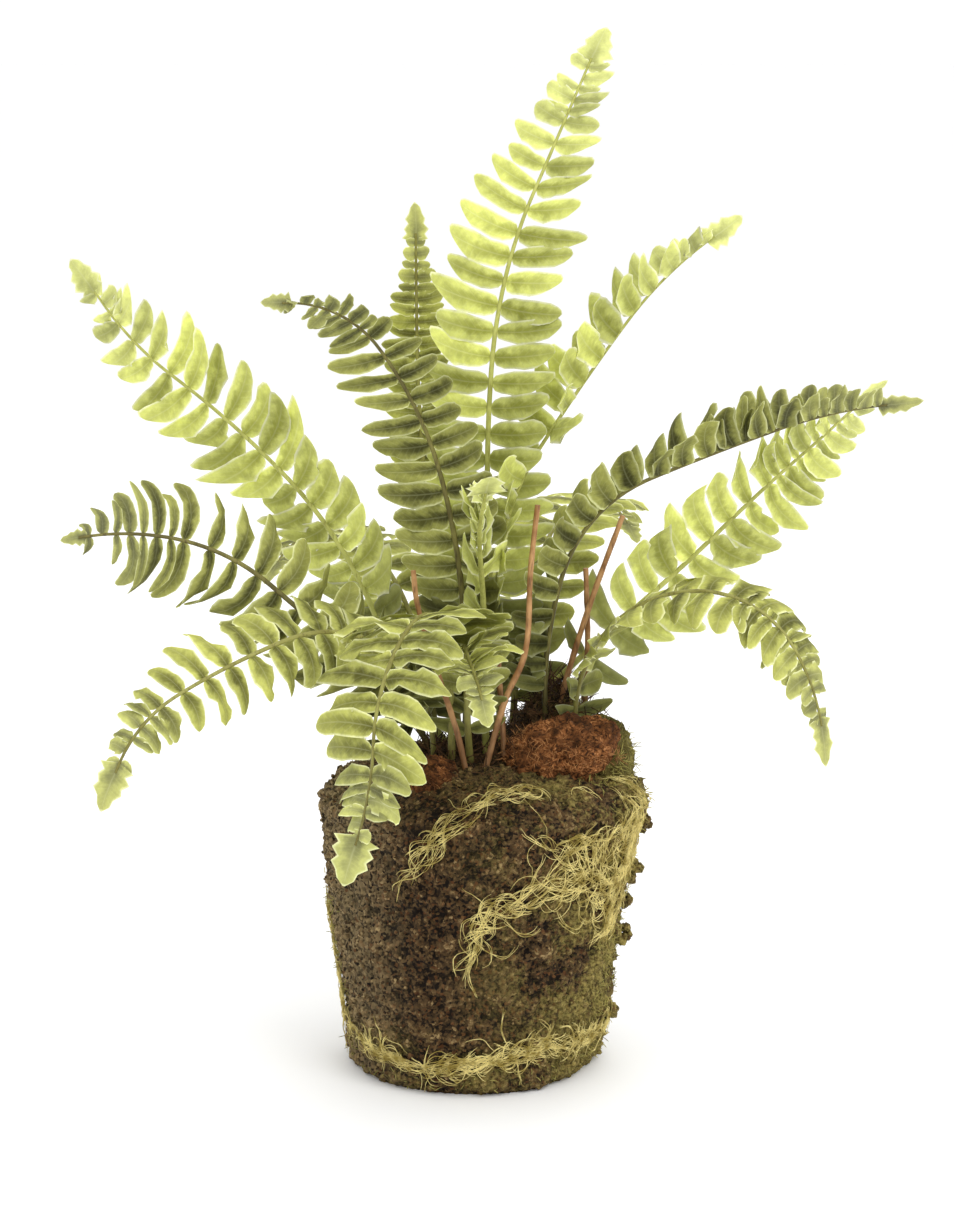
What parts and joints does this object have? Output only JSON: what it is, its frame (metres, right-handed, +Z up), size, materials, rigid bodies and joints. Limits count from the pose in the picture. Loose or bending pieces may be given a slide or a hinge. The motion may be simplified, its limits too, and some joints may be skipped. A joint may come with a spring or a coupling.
{
  "type": "potted fern",
  "caption": "Sword fern with arching pinnate fronds growing from a bare, pot-shaped root ball of soil, coir and moss.",
  "frame": {"origin": "middle of the flat underside of the root ball, on the surface the plant stands on", "axes": "+Z up, -Y towards the front of the plant, +X to the right seen from the front"},
  "size_m": [0.3745, 0.3013, 0.4505],
  "materials": {
    "soil": "rough dark brown soil bound by fine roots, with damp crumbs and a little moss",
    "coir": "matted rust-brown coconut fibre",
    "moss": "dry olive and straw-coloured moss strands",
    "old_stalk": "smooth reddish-brown dried stalk",
    "leaf_bright": "thin yellow-green leaf, satin, lets light through",
    "leaf_mid": "thin mid-green leaf with paler edges, satin",
    "leaf_dark": "thin dark olive leaf with paler edges, waxy satin"
  },
  "bodies": {
    "root": {"coir_clump_left": "coir", "coir_clump_right": "coir", "frond_arching": "leaf_dark", "frond_back_left": "leaf_mid", "frond_back_right": "leaf_mid", "frond_back_small": "leaf_mid", "frond_front_centre": "leaf_bright", "frond_front_left": "leaf_mid", "frond_front_short": "leaf_mid", "frond_left_lower": "leaf_mid", "frond_left_middle": "leaf_dark", "frond_left_upper": "leaf_bright", "frond_right_bright": "leaf_bright", "frond_right_dark": "leaf_dark", "frond_right_droop": "leaf_mid", "frond_right_upper": "leaf_bright", "frond_tall": "leaf_bright", "moss_band_low": "moss", "moss_crown_strand": "moss", "moss_net_right": "moss", "moss_shoulder": "moss", "moss_strip_left": "moss", "root_ball": "soil", "twig_centre": "old_stalk", "twig_centre_short": "old_stalk", "twig_left": "old_stalk", "twig_right": "old_stalk", "twig_right_short": "old_stalk"}
  },
  "joints": []
}
